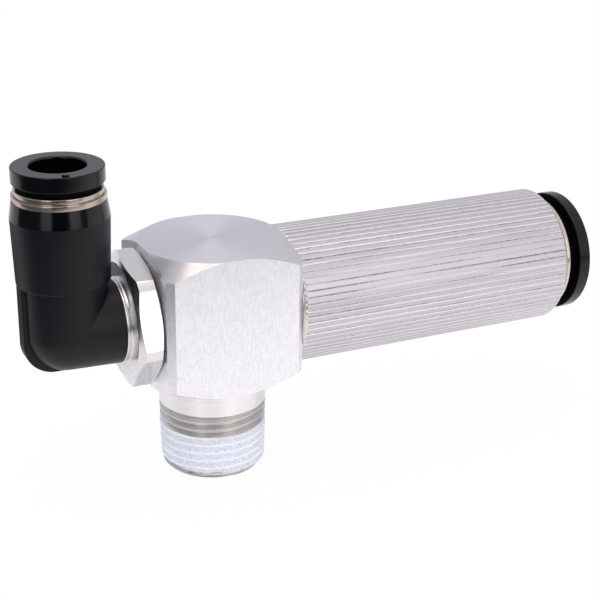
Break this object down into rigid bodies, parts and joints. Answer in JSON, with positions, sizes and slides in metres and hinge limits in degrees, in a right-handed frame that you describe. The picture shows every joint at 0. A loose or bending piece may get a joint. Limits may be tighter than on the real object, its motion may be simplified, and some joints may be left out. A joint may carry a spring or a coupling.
{
  "type": "vacuum ejector",
  "caption": "Inline vacuum ejector: square aluminium body, male taper port below, swivelling push-in supply elbow and straight-knurled exhaust sleeve with push-in port.",
  "frame": {"origin": "on the axis of the vacuum port, in the gauge plane of its R 3/8 taper thread", "axes": "+Z along the port axis, away from the tool that the port screws into; +X along the ejector axis, towards the exhaust"},
  "size_m": [0.0948, 0.022, 0.0518],
  "materials": {
    "turned_aluminium": "bright turned and milled",
    "dried_sealant": "matt white with a faint blue tint",
    "plated_brass": "bright nickel plate",
    "yellow_brass": "plain turned",
    "bore_aluminium": "plain turned",
    "knurled_aluminium": "fine satin, straight knurl",
    "black_rubber": "matt",
    "spring_steel": "bright",
    "guide_plating": "warm bright nickel plate",
    "black_resin": "satin moulding",
    "release_resin": "satin moulding"
  },
  "bodies": {
    "ejector": {"ejector_body": "turned_aluminium", "thread_sealant": "dried_sealant", "swivel_stem": "plated_brass", "stem_gasket": "black_rubber", "nozzle": "yellow_brass", "nozzle_o_ring": "black_rubber", "diffuser": "bore_aluminium", "diffuser_o_ring": "black_rubber", "exhaust_sleeve": "knurled_aluminium", "exhaust_seal": "black_rubber", "exhaust_lock_claws": "spring_steel", "exhaust_guide_ring": "guide_plating", "swivel_o_ring": "black_rubber"},
    "elbow": {"elbow_housing": "black_resin", "supply_seal": "black_rubber", "supply_lock_claws": "spring_steel", "supply_guide_ring": "guide_plating"},
    "supply_release": {"supply_release_ring": "release_resin"},
    "exhaust_release": {"exhaust_release_ring": "release_resin"}
  },
  "joints": [
    {"name": "elbow_swivel", "type": "hinge", "parent": "ejector", "child": "elbow", "pos_m": [-0.0233, 0, 0.02015], "axis": [1, 0, 0], "continuous": true},
    {"name": "supply_release_press", "type": "slide", "parent": "elbow", "child": "supply_release", "axis": [0, 0, -1], "range_m": [0, 0.0009], "stiffness_N_per_m": 400, "springref_m": -0.001},
    {"name": "exhaust_release_press", "type": "slide", "parent": "ejector", "child": "exhaust_release", "axis": [-1, 0, 0], "range_m": [0, 0.00155], "stiffness_N_per_m": 400, "springref_m": -0.001}
  ]
}
